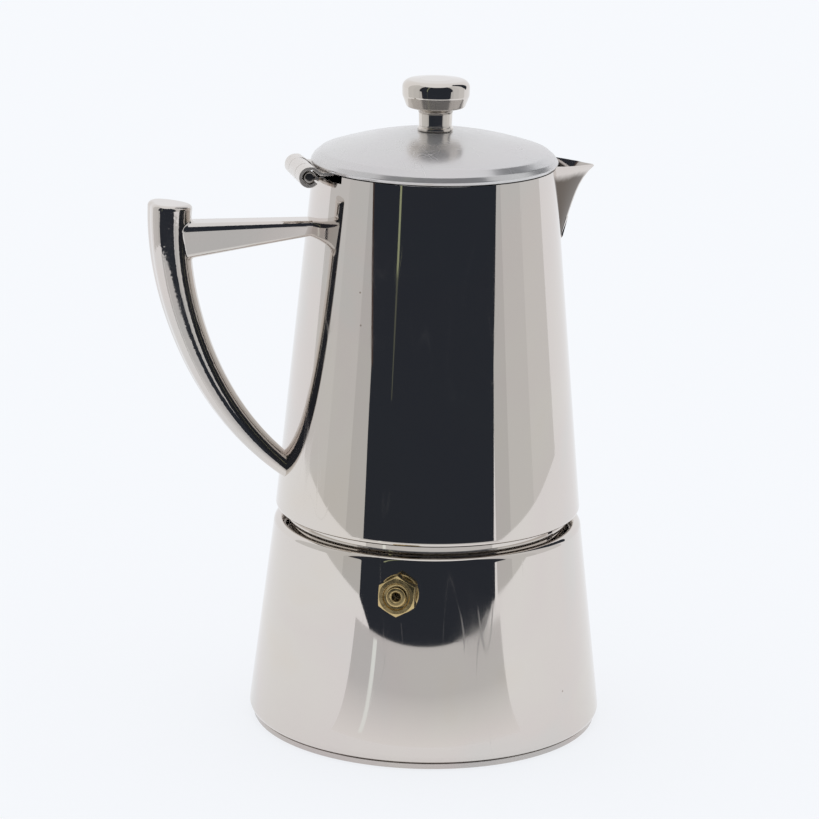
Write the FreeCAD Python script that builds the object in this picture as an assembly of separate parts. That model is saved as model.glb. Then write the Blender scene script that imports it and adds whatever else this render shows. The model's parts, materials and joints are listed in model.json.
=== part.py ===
import FreeCAD, Part
import math
import os

# A stove-top coffee maker (moka pot) in polished stainless steel.
# Millimetres. The origin is the centre of the base, +Z is up.
# The spout points to +X, the handle and the lid hinge to -X.

os.makedirs("parts", exist_ok=True)

# --- driving dimensions ------------------------------------------------------

sheet = 0.8                      # thickness of the pressed steel sheet

# base, a sandwich of aluminium between the boiler and a steel cap
base_radius = 59.2
base_height = 2.1                # the cap's rim, and the boiler's lowest edge
base_cap_sheet = 0.6
base_corner = 0.8
core_recess_radius = 57.5        # the core rises into a recess under the boiler
core_top_height = 4.4

# boiler, a truncated cone with a shoulder and a neck
boiler_foot_radius = 60.9        # wall produced down to the boiler's lowest edge
boiler_top_radius = 52.5         # wall produced up to the shoulder
boiler_foot_corner = 2.5
boiler_shoulder_corner = 2.5
shoulder_height = 71.3
neck_radius = 47.6
boiler_rim_height = 90.0

# thread between boiler and collector
thread_pitch = 3.0
thread_length = 6.5
thread_start_height = 77.2
male_crest_radius = 48.3
female_crest_radius = 48.7
collar_bore_radius = 49.3
collar_height = 11.0

# collector, the upper chamber
collector_foot_radius = 52.25
collector_rim_radius = 40.7
collector_foot_height = 74.7
collector_rim_height = 193.5
collector_lip = 50.6             # the rolled-in lower edge ends at this radius
collector_floor_height = 93.4
collector_floor_thickness = 1.0

# gasket, filter plate, basket
gasket_bore = 40.0
gasket_radius = 48.3
plate_radius = 41.0
plate_thickness = 0.6
basket_flange = 0.7
basket_flange_radius = 47.5
basket_sheet = 0.6
basket_top_radius = 46.0
basket_ledge_radius = 45.4
basket_ledge_height = 64.4
basket_bottom_height = 55.0
stem_radius = 5.6
stem_bottom_height = 8.6

# coffee column in the collector
column_foot_radius = 8.0
column_top_radius = 6.5
column_top_height = 150.0

# safety valve, square to the boiler wall
valve_azimuth = -112.8           # degrees from +X
valve_height = 59.3
hexagon_across_flats = 12.0
hexagon_height = 5.2
valve_washer_thickness = 1.0
shank_radius = 4.0
shank_depth = 9.0
valve_chamber_radius = 2.6
valve_seat_radius = 1.5
valve_seat_depth = 6.0
ball_radius = 2.0
ball_lift = 0.05                 # the ball stands this far off the seat's edge

# lid
lid_top_height = 205.1
lid_dome_radius = 110.0
lid_rim_radius = 41.5
lid_hem_height = 193.8
lid_hem_bore = 36.4
knob_screw_radius = 2.0

# hinge at the handle side
hinge_reach = 45.2               # from the pot's axis
hinge_height = 192.3
knuckle_radius = 3.5
pin_radius = 1.95
knuckle_bore = 2.0
barrel_length = 25.2
middle_knuckle_length = 10.4
knuckle_gap = 0.2
leaf_thickness = 1.1
notch_half_width = 19.5
notch_floor_height = 191.2
strap_notch_half_width = 5.6     # deeper in the middle, for the strap
strap_notch_height = 189.5

# handle, one casting
grip_width_top = 16.0
grip_width_foot = 9.5
grip_depth_top = 14.5
grip_depth_foot = 7.0
arm_width = 12.0
handle_fillet = 1.5

# spout, a bowed V of sheet in front of a mouth in the wall
spout_apex_height = 161.0
spout_half_width = 14.4          # at the root, inside the wall
spout_root_depth = 6.0
mouth_half_width = 9.6

Vector = FreeCAD.Vector
up = Vector(0, 0, 1)
origin = Vector(0, 0, 0)


# --- helpers -----------------------------------------------------------------

def rounded_wire(corners, place):
    """Closed wire through (x, y, radius) corners, each rounded by its radius."""
    flat = [(Vector(x, y, 0), radius) for x, y, radius in corners]
    starts, ends, mids = [], [], []
    for index, (corner, radius) in enumerate(flat):
        before = (flat[index - 1][0] - corner).normalize()
        after = (flat[(index + 1) % len(flat)][0] - corner).normalize()
        half_angle = before.getAngle(after) / 2
        cut = radius / math.tan(half_angle) if radius else 0.0
        starts.append(corner + before * cut)
        ends.append(corner + after * cut)
        if radius:
            middle = (before + after).normalize()
            mids.append(corner + middle * (radius / math.sin(half_angle) - radius))
        else:
            mids.append(None)
    edges = []
    for index, middle in enumerate(mids):
        if middle:
            arc = Part.Arc(place(starts[index]), place(middle), place(ends[index]))
            edges.append(arc.toShape())
        following = place(starts[(index + 1) % len(flat)])
        if (place(ends[index]) - following).Length > 1e-6:
            edges.append(Part.LineSegment(place(ends[index]), following).toShape())
    return Part.Wire(edges)


def upright(point):
    """A drawing's x and y become radius and height."""
    return Vector(point.x, 0, point.y)


def turned(corners):
    """Solid of revolution about Z from (radius, height, rounding) corners."""
    return Part.Face(rounded_wire(corners, upright)).revolve(origin, up, 360)


def extruded(corners, half_width):
    """Drawing in the radius-height plane of the handle side, given thickness along Y."""
    def place(point):
        return Vector(-point.x, -half_width, point.y)
    face = Part.Face(rounded_wire(corners, place))
    return face.extrude(Vector(0, 2 * half_width, 0))


def ring(outer, inner, bottom, top):
    body = Part.makeCylinder(outer, top - bottom, Vector(0, 0, bottom))
    return body.cut(Part.makeCylinder(inner, top - bottom, Vector(0, 0, bottom)))


def helical_rib(root, crest, root_width, crest_width, start, length):
    """Thread rib with a trapezoid section, between radius root and crest."""
    path = Part.makeHelix(thread_pitch, length, root)
    section = Part.makePolygon([
        Vector(root, 0, -root_width / 2),
        Vector(crest, 0, -crest_width / 2),
        Vector(crest, 0, crest_width / 2),
        Vector(root, 0, root_width / 2),
        Vector(root, 0, -root_width / 2)])
    rib = Part.Wire(path).makePipeShell([section], True, True)
    rib.translate(Vector(0, 0, start))
    return rib


def perforated(disc, pitch, first_ring, last_ring, hole, bottom, height):
    """The disc with rings of round holes about Z."""
    holes = [Part.makeCylinder(hole, height, Vector(0, 0, bottom))]
    for number in range(first_ring, last_ring + 1):
        reach = number * pitch
        count = 6 * number
        for step in range(count):
            angle = 2 * math.pi * step / count
            centre = Vector(reach * math.cos(angle), reach * math.sin(angle), bottom)
            holes.append(Part.makeCylinder(hole, height, centre))
    return disc.cut(Part.makeCompound(holes))


def collector_radius(height):
    """Outer radius of the collector's wall."""
    share = (height - collector_foot_height) / (collector_rim_height - collector_foot_height)
    return collector_foot_radius + share * (collector_rim_radius - collector_foot_radius)


def collector_bulk(inset, bottom, top):
    """Solid cone as large as the collector's wall, made smaller by inset."""
    return Part.makeCone(collector_radius(bottom) - inset, collector_radius(top) - inset,
                         top - bottom, Vector(0, 0, bottom))


boiler_taper = (boiler_foot_radius - boiler_top_radius) / (shoulder_height - base_height)


def boiler_radius(height):
    """Outer radius of the boiler's wall."""
    return boiler_foot_radius - boiler_taper * (height - base_height)


# The valve's own frame: its local +Z is square to the wall, outwards.
wall_tilt = math.atan(boiler_taper)
valve_turn = math.radians(valve_azimuth)
valve_axis = Vector(math.cos(wall_tilt) * math.cos(valve_turn),
                    math.cos(wall_tilt) * math.sin(valve_turn),
                    math.sin(wall_tilt))
valve_origin = Vector(boiler_radius(valve_height) * math.cos(valve_turn),
                      boiler_radius(valve_height) * math.sin(valve_turn),
                      valve_height)
valve_side = Vector(-math.sin(valve_turn), math.cos(valve_turn), 0)
valve_frame = FreeCAD.Placement(
    valve_origin, FreeCAD.Rotation(valve_side, valve_axis.cross(valve_side), valve_axis, "ZXY"))


def on_the_valve(shape):
    shape.Placement = valve_frame.multiply(shape.Placement)
    return shape


# --- boiler ------------------------------------------------------------------

def base_cap():
    inner = base_radius - base_cap_sheet
    return turned([
        (0, 0, 0), (base_radius, 0, base_corner), (base_radius, base_height, 0),
        (inner, base_height, 0), (inner, base_cap_sheet, base_corner / 2),
        (0, base_cap_sheet, 0)])


def base_core():
    radius = base_radius - base_cap_sheet
    return turned([
        (0, base_cap_sheet, 0), (radius, base_cap_sheet, base_corner / 2),
        (radius, base_height, 0), (core_recess_radius, base_height, 0),
        (core_recess_radius, core_top_height, 0), (0, core_top_height, 0)])


def boiler_shell():
    floor_top = core_top_height + sheet
    inner_neck = neck_radius - sheet
    under_shoulder = shoulder_height - sheet
    shell = turned([
        (0, core_top_height, 0),
        (core_recess_radius, core_top_height, 0),
        (core_recess_radius, base_height, 0),
        (boiler_foot_radius, base_height, boiler_foot_corner),
        (boiler_top_radius, shoulder_height, boiler_shoulder_corner),
        (neck_radius, shoulder_height, sheet),
        (neck_radius, boiler_rim_height, 0.35),
        (inner_neck, boiler_rim_height, 0.35),
        (inner_neck, under_shoulder, 2 * sheet),
        (boiler_radius(under_shoulder) - sheet, under_shoulder, boiler_shoulder_corner - sheet),
        (boiler_radius(floor_top) - sheet, floor_top, boiler_foot_corner - sheet),
        (0, floor_top, 0)])
    rib = helical_rib(neck_radius - 0.2, male_crest_radius, 1.6, 0.7,
                      thread_start_height, thread_length)
    hole = on_the_valve(Part.makeCylinder(shank_radius + 0.05, 6, Vector(0, 0, -4)))
    return shell.fuse(rib).cut(hole)


# --- safety valve ------------------------------------------------------------

def valve_bush():
    depth = 5.0
    blank = on_the_valve(ring(6.5, shank_radius, -depth - sheet, 0))
    inside = Part.makeCone(boiler_radius(base_height) - sheet, boiler_radius(shoulder_height) - sheet,
                           shoulder_height - base_height, Vector(0, 0, base_height))
    return blank.common(inside)


def valve_washer():
    return on_the_valve(ring(6.6, shank_radius, 0, valve_washer_thickness))


def valve_body():
    """Brass hexagon with chamfered corners and a hollow shank through the wall."""
    corner_radius = hexagon_across_flats / math.sqrt(3)
    back = valve_washer_thickness
    front = back + hexagon_height
    corners = [Vector(corner_radius * math.cos(math.radians(60 * n)),
                      corner_radius * math.sin(math.radians(60 * n)), back) for n in range(7)]
    hexagon = Part.Face(Part.makePolygon(corners)).extrude(Vector(0, 0, hexagon_height))
    chamfer = Part.makeCone(corner_radius + 2.1, hexagon_across_flats / 2 - 0.1, 1.3,
                            Vector(0, 0, front - 1.3))
    blunt = Part.makeCylinder(corner_radius + 2.1, hexagon_height - 1.3, Vector(0, 0, back))
    hexagon = hexagon.common(blunt.fuse(chamfer))
    shank = Part.makeCylinder(shank_radius, shank_depth + back, Vector(0, 0, -shank_depth))
    chamber = Part.makeCylinder(valve_chamber_radius, valve_seat_depth + front,
                                Vector(0, 0, -valve_seat_depth))
    inlet = Part.makeCylinder(valve_seat_radius, shank_depth, Vector(0, 0, -shank_depth))
    return on_the_valve(hexagon.fuse(shank).cut(chamber).cut(inlet))


def valve_retainer():
    """Round insert in the hexagon's face, with the vent hole."""
    front = valve_washer_thickness + hexagon_height
    plug = Part.makeCylinder(valve_chamber_radius, 3.2, Vector(0, 0, front - 3.2))
    boss = Part.makeCylinder(3.3, 0.9, Vector(0, 0, front))
    boss = boss.makeFillet(0.35, [boss.Edges[0]])
    vent = Part.makeCylinder(1.45, 6, Vector(0, 0, front - 4))
    return on_the_valve(plug.fuse(boss).cut(vent))


def ball_centre():
    """Height of the ball on its seat, along the valve's axis."""
    return math.sqrt(ball_radius ** 2 - valve_seat_radius ** 2) - valve_seat_depth + ball_lift


def valve_ball():
    return on_the_valve(Part.makeSphere(ball_radius, Vector(0, 0, ball_centre())))


def valve_spring():
    """Compression spring between the ball and the retainer."""
    wire = 0.25
    coil = 1.75
    bottom = ball_centre() + math.sqrt(ball_radius ** 2 - coil ** 2) + 2 * wire
    top = valve_washer_thickness + hexagon_height - 3.2 - wire - 0.05
    path = Part.makeHelix((top - bottom) / 5, top - bottom, coil)
    section = Part.Wire(Part.makeCircle(wire, Vector(coil, 0, 0), Vector(0, 1, 0)))
    spring = Part.Wire(path).makePipeShell([section], True, True)
    spring.translate(Vector(0, 0, bottom))
    return on_the_valve(spring)


# --- basket, gasket and filter plate -----------------------------------------

def basket_cup():
    rim = boiler_rim_height
    ledge = basket_ledge_height
    inner_ledge = basket_ledge_radius - basket_sheet
    throat = stem_radius + basket_sheet
    sieve_rest = 1.6
    return turned([
        (basket_flange_radius, rim, 0), (basket_flange_radius, rim + basket_flange, 0.3),
        (basket_top_radius - basket_sheet, rim + basket_flange, 0.5),
        (inner_ledge, ledge, 0),
        (inner_ledge - sieve_rest, ledge, 0),
        (inner_ledge - sieve_rest, ledge - 2, 0.6),
        (stem_radius, basket_bottom_height + basket_sheet, 0),
        (stem_radius, basket_bottom_height - 4, 0),
        (throat, basket_bottom_height - 4, 0),
        (throat, basket_bottom_height, 0),
        (basket_ledge_radius - sieve_rest, ledge - 2 - basket_sheet, 1.2),
        (basket_ledge_radius - sieve_rest, ledge - basket_sheet, 0.3),
        (basket_ledge_radius, ledge - basket_sheet, 0.5),
        (basket_top_radius, rim, 0.2)])


def basket_sieve():
    thickness = 0.6
    disc = Part.makeCylinder(basket_ledge_radius - basket_sheet, thickness,
                             Vector(0, 0, basket_ledge_height))
    return perforated(disc, 4.6, 1, 8, 0.75, basket_ledge_height - 1, thickness + 2)


def funnel_stem():
    top = basket_bottom_height
    return ring(stem_radius, stem_radius - basket_sheet, stem_bottom_height, top)


def filter_gasket():
    bottom = boiler_rim_height + basket_flange
    plate_bottom = collector_floor_height - 1.15
    groove = plate_radius + 0.1
    return turned([
        (gasket_bore, bottom, 0.3), (gasket_radius, bottom, 0.4),
        (gasket_radius, collector_floor_height, 0.4), (gasket_bore, collector_floor_height, 0),
        (gasket_bore, plate_bottom + plate_thickness + 0.05, 0),
        (groove, plate_bottom + plate_thickness + 0.05, 0),
        (groove, plate_bottom - 0.05, 0), (gasket_bore, plate_bottom - 0.05, 0)])


def filter_plate():
    bottom = collector_floor_height - 1.15
    disc = Part.makeCylinder(plate_radius, plate_thickness, Vector(0, 0, bottom))
    return perforated(disc, 4.6, 1, 8, 0.6, bottom - 1, plate_thickness + 2)


# --- collector ---------------------------------------------------------------

def spout_section(height, reach, inset):
    """Bowed V at one height: from inside the pot out to the fold and back."""
    share = (height - spout_apex_height) / (collector_rim_height - spout_apex_height)
    root = collector_radius(height) - spout_root_depth
    half = 1.2 + share * (spout_half_width - 1.2) - inset
    tip = reach - inset
    nose = 1.0 - inset / 2
    shoulder = root + 0.55 * (tip - root)
    bow = 0.56 * half

    def place(x, y):
        return Vector(x, y, height)
    return Part.Wire([
        Part.Arc(place(root, -half), place(shoulder, -bow), place(tip - 0.43, -nose)).toShape(),
        Part.Arc(place(tip - 0.43, -nose), place(tip, 0), place(tip - 0.43, nose)).toShape(),
        Part.Arc(place(tip - 0.43, nose), place(shoulder, bow), place(root, half)).toShape(),
        Part.LineSegment(place(root, half), place(root, -half)).toShape()])


def spout_bulk(inset):
    """Solid V whose fold leans outwards, faster near the beak."""
    fold = [(163.0, 44.4), (173.0, 47.3), (184.0, 51.4), (189.0, 54.2), (194.5, 60.4)]
    wires = [spout_section(height, reach, inset) for height, reach in fold]
    return Part.makeLoft(wires, True, False)


def spout_top_cut():
    """Half space above the spout's edges, which fall gently to the beak."""
    corners = [(30, 193.5, 0), (41, 193.5, 0), (65, 190.2, 0), (65, 200, 0), (30, 200, 0)]
    face = Part.Face(rounded_wire(corners, lambda point: Vector(point.x, -25, point.y)))
    return face.extrude(Vector(0, 50, 0))


def spout():
    sheet_metal = spout_bulk(0).cut(spout_bulk(sheet)).cut(spout_top_cut())
    return sheet_metal.cut(collector_bulk(0, 150, 200))


def spout_mouth():
    """Prism that opens the wall behind the spout."""
    top = collector_rim_height + 1
    corners = [(0, 165.5, 0), (mouth_half_width, top, 0), (-mouth_half_width, top, 0)]
    face = Part.Face(rounded_wire(corners, lambda point: Vector(20, point.x, point.y)))
    return face.extrude(Vector(30, 0, 0))


def collector_shell():
    inner_foot = collector_radius(collector_foot_height + sheet) - sheet
    shell = turned([
        (collector_foot_radius, collector_foot_height, 1.5),
        (collector_rim_radius, collector_rim_height, 0),
        (collector_rim_radius - sheet, collector_rim_height, 0),
        (inner_foot, collector_foot_height + sheet, 0.7),
        (collector_lip, collector_foot_height + sheet, 0),
        (collector_lip, collector_foot_height, 0)])
    shell.rotate(origin, up, 90)     # keeps the seam clear of the spout
    behind = -collector_rim_radius - 10
    notch = Part.makeBox(20, 2 * notch_half_width, 10,
                         Vector(behind, -notch_half_width, notch_floor_height))
    strap_notch = Part.makeBox(20, 2 * strap_notch_half_width, 10,
                               Vector(behind, -strap_notch_half_width, strap_notch_height))
    return shell.cut(notch).cut(strap_notch).cut(spout_mouth())


def collector_floor():
    bottom = collector_floor_height
    top = bottom + collector_floor_thickness
    disc = collector_bulk(sheet, bottom, top)
    return disc.cut(Part.makeCylinder(column_foot_radius, 5, Vector(0, 0, bottom - 2)))


def threaded_collar():
    bottom = collector_foot_height + 2 * sheet
    top = bottom + collar_height
    blank = collector_bulk(sheet, bottom, top)
    bore = Part.makeCylinder(collar_bore_radius, collar_height + 2, Vector(0, 0, bottom - 1))
    rib = helical_rib(collar_bore_radius + 0.2, female_crest_radius, 1.6, 0.7,
                      thread_start_height + thread_pitch / 2, thread_length - 1.5)
    return blank.cut(bore).fuse(rib)


def coffee_column():
    foot = collector_floor_height
    height = column_top_height - foot
    outer = Part.makeCone(column_foot_radius, column_top_radius, height, Vector(0, 0, foot))
    inner = Part.makeCone(column_foot_radius - sheet, column_top_radius - sheet, height,
                          Vector(0, 0, foot))
    floor_joint = Part.makeCylinder(column_foot_radius, collector_floor_thickness,
                                    Vector(0, 0, foot))
    return outer.fuse(floor_joint).cut(inner)


def column_cap():
    """Cap on the column with two side windows that let the coffee out."""
    seat = column_top_height - 2
    taper = (column_foot_radius - column_top_radius) / (column_top_height - collector_floor_height)
    cap = turned([
        (column_top_radius + 2 * taper, seat, 0), (column_top_radius, column_top_height, 0),
        (column_top_radius - sheet, column_top_height, 0),
        (column_top_radius - sheet, column_top_height + 6, 1.5), (0, column_top_height + 6, 0),
        (0, column_top_height + 7, 0), (7.4, column_top_height + 7, 2.2), (7.4, seat, 0)])
    window = Part.makeBox(20, 5, 4, Vector(-10, -2.5, column_top_height + 0.8))
    return cap.cut(window)


# --- handle ------------------------------------------------------------------

def handle_section(centre, along, depth, width):
    """Egg-shaped loop square to the handle's centre line, blunt on its outer side."""
    across = Vector(0, 1, 0)
    inwards = along.cross(across)
    half = [(-0.5, 0.0), (-0.465, 0.30), (-0.30, 0.47), (-0.05, 0.49), (0.22, 0.38), (0.42, 0.20)]
    loop = half + [(0.5, 0.0)] + [(x, -y) for x, y in reversed(half[1:])]
    points = [centre + inwards * (x * depth) + across * (y * width) for x, y in loop]
    curve = Part.BSplineCurve()
    curve.interpolate(points, PeriodicFlag=True)
    return Part.Wire(curve.toShape())


def grip():
    """Thick outer bar that curves down and in to the wall."""
    path = Part.BSplineCurve()
    path.interpolate([
        Vector(-89.2, 0, 182.6), Vector(-89.2, 0, 168.0), Vector(-84.9, 0, 145.2),
        Vector(-73.2, 0, 118.0), Vector(-46.0, 0, 88.2)])
    stations = 9
    first, last = path.FirstParameter, path.LastParameter
    sections = []
    for number in range(stations):
        share = number / (stations - 1)
        parameter = first + share * (last - first)
        along = path.tangent(parameter)[0]
        depth = grip_depth_top + share * (grip_depth_foot - grip_depth_top)
        width = grip_width_top + share * (grip_width_foot - grip_width_top)
        sections.append(handle_section(path.value(parameter), along, depth, width))
    bar = Part.makeLoft(sections, True, False)
    end_edges = [edge for edge in bar.Edges if edge.BoundBox.ZMin > 181.5]
    return bar.makeFillet(handle_fillet, end_edges)


def arm_section(reach, bottom, top, width, rounding):
    """Section of the level bar, narrower underneath."""
    corners = [
        (-0.36 * width, bottom, rounding), (0.36 * width, bottom, rounding),
        (width / 2, top, rounding), (-width / 2, top, rounding)]
    return rounded_wire(corners, lambda point: Vector(-reach, point.x, point.y))


def arm():
    """Level bar from the grip to the wall, thinner towards the wall."""
    return Part.makeLoft([arm_section(88.0, 163.4, 176.3, arm_width, 2.4),
                          arm_section(36.0, 171.7, 176.0, arm_width - 2, 1.4)], True, True)


def between_grip_and_arm(edge):
    box = edge.BoundBox
    return box.XMin > -88.5 and box.XMax < -79 and 160 < box.ZMin and box.ZMax < 178


def handle():
    casting = grip().fuse(arm())
    corner = [edge for edge in casting.Edges if between_grip_and_arm(edge)]
    casting = casting.makeFillet(handle_fillet, corner)
    return casting.cut(collector_bulk(0, 70, 200))


# --- hinge -------------------------------------------------------------------

def along_hinge(radius, start, end):
    """Cylinder on the hinge's axis, between two places along Y."""
    return Part.makeCylinder(radius, end - start, Vector(-hinge_reach, start, hinge_height),
                             Vector(0, 1, 0))


def hinge_pin():
    """Pin with domed ends, tight in the middle knuckle."""
    half = barrel_length / 2 + 0.6
    pin = along_hinge(pin_radius, -half, half)
    return pin.makeFillet(0.9, [edge for edge in pin.Edges if edge.Length < 4 * math.pi * pin_radius
                                and isinstance(edge.Curve, Part.Circle)])


def body_hinge_leaf():
    """Middle knuckle with a tab that enters by the notch and is welded inside the wall."""
    half = middle_knuckle_length / 2
    strap_top = hinge_height - 1.2
    strap = extruded([
        (hinge_reach, strap_top, 0), (38.4, strap_top, 1.6), (38.4, strap_top - 13, 0.5),
        (41.4, strap_top - 13, 0), (39.5, strap_top - leaf_thickness, 0),
        (hinge_reach, strap_top - leaf_thickness, 0)], half)
    inside = collector_bulk(sheet, 150, strap_notch_height)
    above = Part.makeBox(40, 40, 10, Vector(-60, -20, strap_notch_height))
    strap = strap.common(inside.fuse(above))
    hollow = collector_bulk(sheet + leaf_thickness, 150, strap_notch_height - 1)
    strap = strap.cut(hollow)
    knuckle = along_hinge(knuckle_radius, -half, half)
    return knuckle.fuse(strap).cut(along_hinge(knuckle_bore, -half - 1, half + 1))


def lid_hinge_leaf():
    """Two outer knuckles whose sheet dips under the lid's rim to a plate welded to its hem."""
    inner = middle_knuckle_length / 2 + knuckle_gap
    outer = barrel_length / 2
    plate_top = lid_hem_height
    plate_bottom = plate_top - leaf_thickness
    top = hinge_height + knuckle_radius
    leaf = None
    for start, end in ((-outer, -inner), (inner, outer)):
        knuckle = along_hinge(knuckle_radius, start, end)
        sweep = extruded([
            (hinge_reach, top, 0), (44.0, top, 1.6), (41.6, plate_top, 1.0), (38.5, plate_top, 0),
            (38.5, plate_bottom, 0), (41.3, plate_bottom, 2.0), (43.5, top - leaf_thickness, 0.5),
            (hinge_reach, top - leaf_thickness, 0)], (end - start) / 2)
        sweep.translate(Vector(0, (start + end) / 2, 0))
        side = knuckle.fuse(sweep)
        leaf = side if leaf is None else leaf.fuse(side)
    plate = ring(41.3, 37.0, plate_bottom, plate_top)
    clip = Part.makeBox(20, 2 * outer, 10, Vector(-hinge_reach, -outer, plate_bottom - 2))
    leaf = leaf.fuse(plate.common(clip))
    return leaf.cut(along_hinge(knuckle_bore, -outer - 1, outer + 1))


# --- lid ---------------------------------------------------------------------

def dome_height(radius, drop):
    """Height of the lid's dome, or of its underside when drop is the sheet."""
    return lid_top_height - drop - radius ** 2 / (2 * lid_dome_radius)


def lid_shell():
    hole = knob_screw_radius + 0.1
    edge = 38.2
    inner_edge = 37.5

    def curve(start, middle, end):
        points = [Vector(x, 0, z) for x, z in (start, middle, end)]
        return Part.Arc(*points).toShape()

    def line(start, end):
        return Part.LineSegment(Vector(start[0], 0, start[1]), Vector(end[0], 0, end[1])).toShape()

    dome_start = (hole, dome_height(hole, 0))
    dome_end = (edge, dome_height(edge, 0))
    bead_top = (41.1, 195.5)
    bead_side = (lid_rim_radius, 194.95)
    bead_foot = (41.2, 194.4)
    under_bead = (40.6, lid_hem_height)
    hem_end = (lid_hem_bore, lid_hem_height)
    hem_top = (lid_hem_bore, lid_hem_height + sheet)
    inner_corner = (40.0, lid_hem_height + sheet)
    inner_slope = (40.3, lid_hem_height + sheet + 0.55)
    inner_end = (inner_edge, dome_height(inner_edge, sheet))
    inner_start = (hole, dome_height(hole, sheet))
    outline = Part.Wire([
        curve(dome_start, (18, dome_height(18, 0)), dome_end),
        line(dome_end, bead_top),
        curve(bead_top, bead_side, bead_foot),
        line(bead_foot, under_bead),
        line(under_bead, hem_end),
        line(hem_end, hem_top),
        line(hem_top, inner_corner),
        line(inner_corner, inner_slope),
        line(inner_slope, inner_end),
        curve(inner_end, (18, dome_height(18, sheet)), inner_start),
        line(inner_start, dome_start)])
    return Part.Face(outline).revolve(origin, up, 360)


knob_foot_height = lid_top_height + 0.05


def knob():
    foot = knob_foot_height
    bore = knob_screw_radius
    return turned([
        (0, 222.5, 0), (11.3, 222.5, 3.4), (11.2, 216.6, 3.0), (9.9, 213.2, 0.6),
        (5.6, 211.8, 1.4), (5.5, foot + 1.0, 0.35), (6.0, foot + 0.9, 0.2), (6.0, foot, 0),
        (bore, foot, 0), (bore, foot + 7.5, 0), (0, foot + 7.5, 0)])


def knob_washer():
    top = dome_height(5.2, sheet) - 0.05
    return ring(5.2, knob_screw_radius, top - 0.8, top)


def knob_screw():
    """Pan-head screw from under the lid into the knob."""
    head_top = dome_height(5.2, sheet) - 0.85
    head = turned([
        (0, head_top - 2.2, 0), (3.8, head_top - 2.2, 1.0), (3.8, head_top, 0), (0, head_top, 0)])
    slot = Part.makeBox(10, 1.0, 1.2, Vector(-5, -0.5, head_top - 2.3))
    shank = Part.makeCylinder(knob_screw_radius, knob_foot_height + 7.0 - head_top,
                              Vector(0, 0, head_top))
    return head.cut(slot).fuse(shank)


# --- write one file per piece ------------------------------------------------

pieces = [
    base_cap, base_core, boiler_shell,
    valve_bush, valve_washer, valve_body, valve_retainer, valve_ball, valve_spring,
    basket_cup, basket_sieve, funnel_stem, filter_gasket, filter_plate,
    collector_shell, spout, collector_floor, threaded_collar, coffee_column, column_cap,
    handle, body_hinge_leaf, hinge_pin,
    lid_shell, lid_hinge_leaf, knob, knob_washer, knob_screw]

for piece in pieces:
    shape = piece()
    if len(shape.Solids) == 1:
        shape = shape.Solids[0]
    print(piece.__name__, "valid" if shape.isValid() else "NOT VALID",
          len(shape.Solids), "solid", round(shape.Volume / 1000, 3), "cm3")
    shape.exportStep("parts/" + piece.__name__ + ".step")
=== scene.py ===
# %% [markdown]
# # A steel stove-top coffee maker
# The pot is a mirror-polished boiler with a screw-on jug, a hinged lid and a cast handle.
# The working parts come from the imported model, which this script loads as a fixed frame.
# Most of what shows is modelled again here in clean, smooth meshes, and everything gets a
# finish.

# %% Load the frame and keep its box
import json
import math

import bmesh
import bpy
from mathutils import Matrix, Vector


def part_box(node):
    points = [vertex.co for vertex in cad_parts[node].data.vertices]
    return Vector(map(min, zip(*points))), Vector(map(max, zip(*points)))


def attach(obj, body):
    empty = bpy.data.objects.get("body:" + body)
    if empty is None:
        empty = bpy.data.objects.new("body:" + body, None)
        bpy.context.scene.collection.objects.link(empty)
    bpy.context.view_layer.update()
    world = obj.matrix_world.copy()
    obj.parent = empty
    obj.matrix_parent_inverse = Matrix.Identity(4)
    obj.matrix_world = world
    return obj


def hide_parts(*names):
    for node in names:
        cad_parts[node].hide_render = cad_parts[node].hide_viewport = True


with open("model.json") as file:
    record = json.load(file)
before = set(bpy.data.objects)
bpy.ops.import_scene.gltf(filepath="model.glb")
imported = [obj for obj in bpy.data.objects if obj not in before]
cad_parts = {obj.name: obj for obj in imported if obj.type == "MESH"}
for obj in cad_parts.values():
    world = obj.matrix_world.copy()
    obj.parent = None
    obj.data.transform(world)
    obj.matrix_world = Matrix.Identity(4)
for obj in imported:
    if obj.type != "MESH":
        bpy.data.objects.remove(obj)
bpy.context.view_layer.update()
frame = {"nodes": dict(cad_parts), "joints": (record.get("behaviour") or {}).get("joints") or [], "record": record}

# %% [markdown]
# ## The camera
# A long lens, about 150 mm on a full-frame sensor, stands a good metre away and looks down
# by some fifteen degrees. It could be aimed with a Track To constraint, but a constraint
# hides the small roll of a hand-held shot, so the three axes are worked out and set.

# %% Where the camera stands
view_azimuth = math.radians(-13.5)          # from the pot's -Y side, towards -X
camera_distance = 1.1205
camera_height = 0.4025
camera_pitch = 0.2568                       # radians below the horizon
camera_yaw = -0.0061
camera_roll = 0.0190
lens_mm = 149.1


def around(turn, distance, height):
    """A point at a distance from the pot's axis, turned from the camera's side by an angle."""
    angle = view_azimuth + math.radians(turn)
    return Vector((math.sin(angle) * distance, -math.cos(angle) * distance, height))


print("camera stands", camera_distance, "m away and", camera_height, "m up")

# %% [markdown]
# ## Aiming it
# A camera looks along its own -Z axis, with +Y above it. Heading and pitch give the first
# axis, the cross products give the other two, and the roll then mixes those two a little.

# %% Aim the camera
heading = -view_azimuth + camera_yaw
forward = Vector((
    math.sin(heading) * math.cos(camera_pitch),
    math.cos(heading) * math.cos(camera_pitch),
    -math.sin(camera_pitch)))
level = forward.cross(Vector((0, 0, 1))).normalized()
upright = level.cross(forward)
across = math.cos(camera_roll) * level + math.sin(camera_roll) * upright
above = math.cos(camera_roll) * upright - math.sin(camera_roll) * level

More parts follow.
